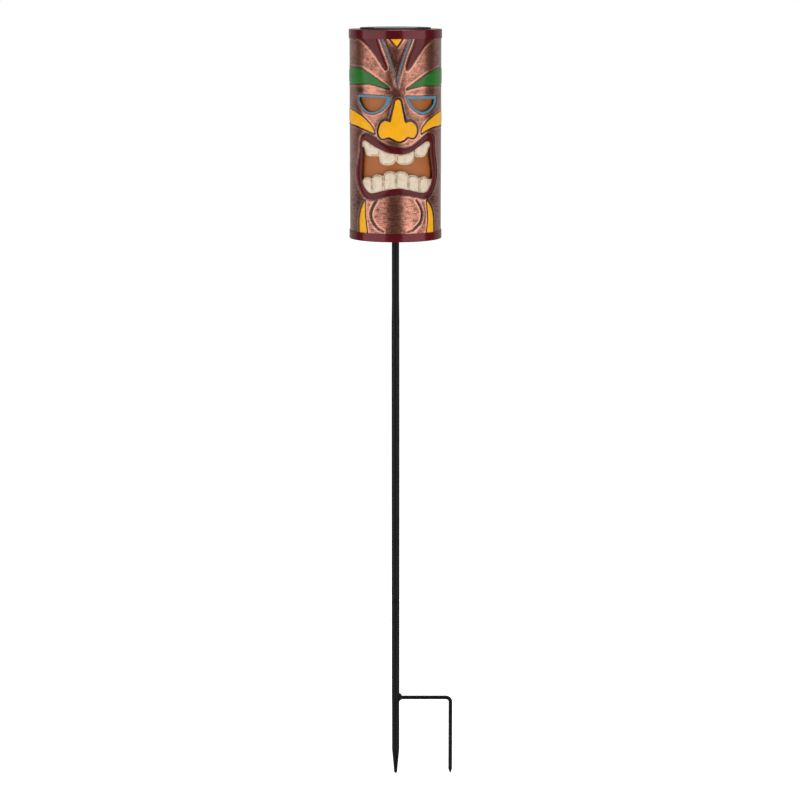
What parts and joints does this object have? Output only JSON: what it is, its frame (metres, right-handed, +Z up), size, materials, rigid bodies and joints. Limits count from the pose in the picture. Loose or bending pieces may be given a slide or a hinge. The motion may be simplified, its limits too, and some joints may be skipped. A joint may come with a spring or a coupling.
{
  "type": "tiki torch",
  "caption": "Solar garden torch: a cylindrical embossed tiki face lantern with a lift-out solar module, on a two-section stake with a bent wire step.",
  "frame": {"origin": "on the stake's axis at the soil line, level with the step down to the driven end, just under the crossbar", "axes": "+Z up along the stake, the face looks along -Y, the step leg stands on the +X side"},
  "size_m": [0.1248, 0.1098, 0.9144],
  "materials": {
    "black_powder_coat": "satin black powder coat",
    "antique_copper": "antiqued copper plate on steel sheet with coloured enamel in the embossed face",
    "maroon_enamel": "gloss maroon enamel",
    "amber_film": "translucent amber",
    "zinc_steel": "zinc plated",
    "nickel_contact": "nickel plated",
    "module_black": "fine moulded texture",
    "black_foam": "closed cell foam",
    "seal_rubber": "soft rubber",
    "board_laminate": "green solder mask",
    "component_black": "moulded",
    "solar_silicon": "dark blue polycrystalline",
    "clear_resin": "clear gloss",
    "amber_led": "clear amber epoxy",
    "frosted_lens": "frosted",
    "battery_wrap": "shrink sleeve",
    "lead_insulation": "flexible insulation"
  },
  "bodies": {
    "ground_stake": {"stake_lower": "black_powder_coat", "step_leg": "black_powder_coat", "weld_bead": "black_powder_coat"},
    "upper_stake": {"stake_upper": "black_powder_coat"},
    "lantern": {"face_shell": "antique_copper", "top_band": "maroon_enamel", "bottom_pan": "maroon_enamel", "diffuser": "amber_film", "socket_ferrule": "black_powder_coat", "socket_rivets": "zinc_steel"},
    "solar_module": {"module_bezel": "module_black", "module_gasket": "black_foam", "panel_base": "component_black", "solar_cells": "solar_silicon", "panel_cover": "clear_resin", "housing_seal": "seal_rubber", "module_housing": "module_black", "battery": "battery_wrap", "battery_spring": "nickel_contact", "contact_plates": "nickel_contact", "circuit_board": "board_laminate", "board_parts": "component_black", "battery_leads": "lead_insulation", "panel_leads": "lead_insulation", "flicker_leds": "amber_led", "light_lens": "frosted_lens", "switch_body": "component_black", "housing_screws": "zinc_steel", "door_pin": "zinc_steel"},
    "door": {"battery_door": "module_black"},
    "slider": {"switch_slider": "module_black"}
  },
  "joints": [
    {"name": "stake_pull_apart", "type": "slide", "parent": "ground_stake", "child": "upper_stake", "axis": [0, 0, 1], "range_m": [0, 0.045]},
    {"name": "lantern_turn", "type": "hinge", "parent": "upper_stake", "child": "lantern", "pos_m": [0, 0, 0.59], "axis": [0, 0, 1], "continuous": true},
    {"name": "module_lift", "type": "slide", "parent": "lantern", "child": "solar_module", "axis": [0, 0, 1], "range_m": [0, 0.06]},
    {"name": "battery_door_swing", "type": "hinge", "parent": "solar_module", "child": "door", "pos_m": [-0.0296, -0.0121, 0.7926], "axis": [0, 1, 0], "range_deg": [0, 90]},
    {"name": "power_switch", "type": "slide", "parent": "solar_module", "child": "slider", "axis": [1, 0, 0], "range_m": [0, 0.0025]}
  ]
}
